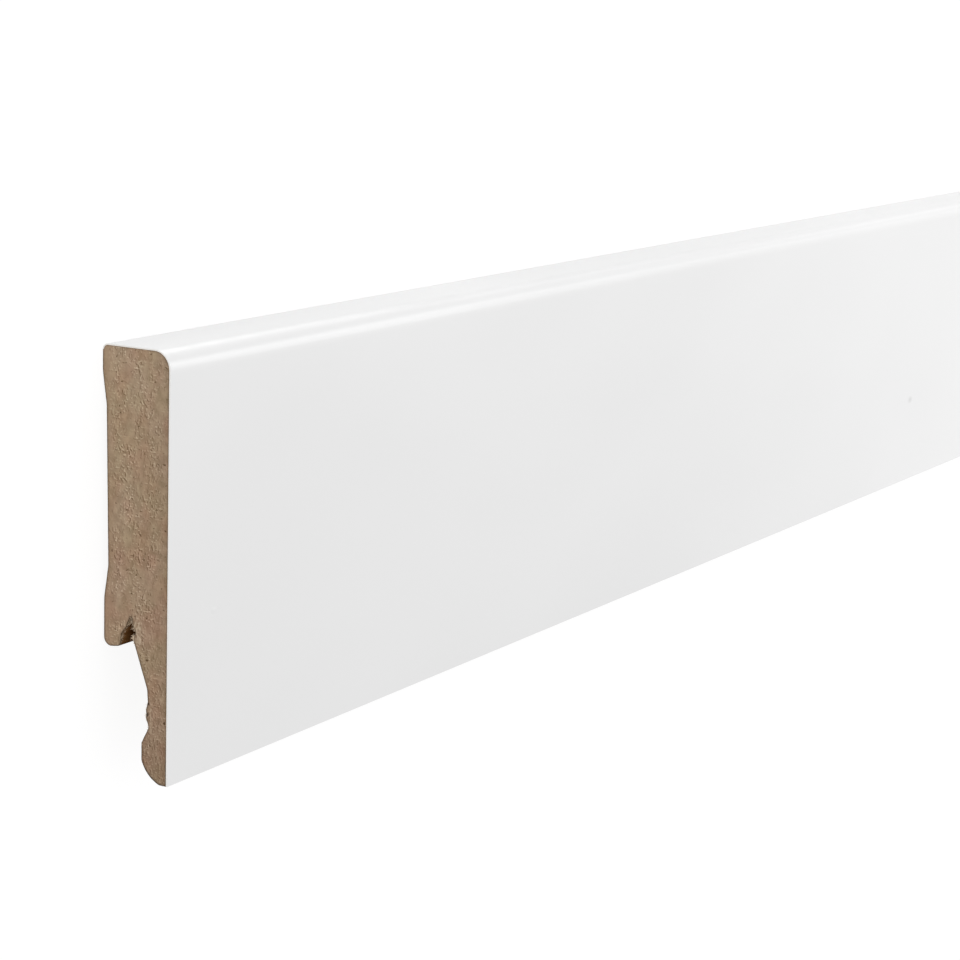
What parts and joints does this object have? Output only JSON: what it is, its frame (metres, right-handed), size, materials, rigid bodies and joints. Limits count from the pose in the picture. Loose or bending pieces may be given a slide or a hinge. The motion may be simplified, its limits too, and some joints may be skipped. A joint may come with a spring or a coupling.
{
  "type": "skirting board length",
  "caption": "Straight length of white wrapped MDF skirting board with rounded top edges, a milled back with a clip groove and a cable channel.",
  "frame": {"origin": "centre of the length and of the height, on the plane of the upper land of the back, on which the board lies", "axes": "+X along the length, +Y from the toe to the top edge, +Z out of the white face; the board lies on its back"},
  "size_m": [2.4, 0.08, 0.015],
  "materials": {
    "raw_mdf": "raw milled fibreboard",
    "white_foil": "satin"
  },
  "bodies": {
    "root": {"mdf_core": "raw_mdf", "white_foil": "white_foil"}
  },
  "joints": []
}
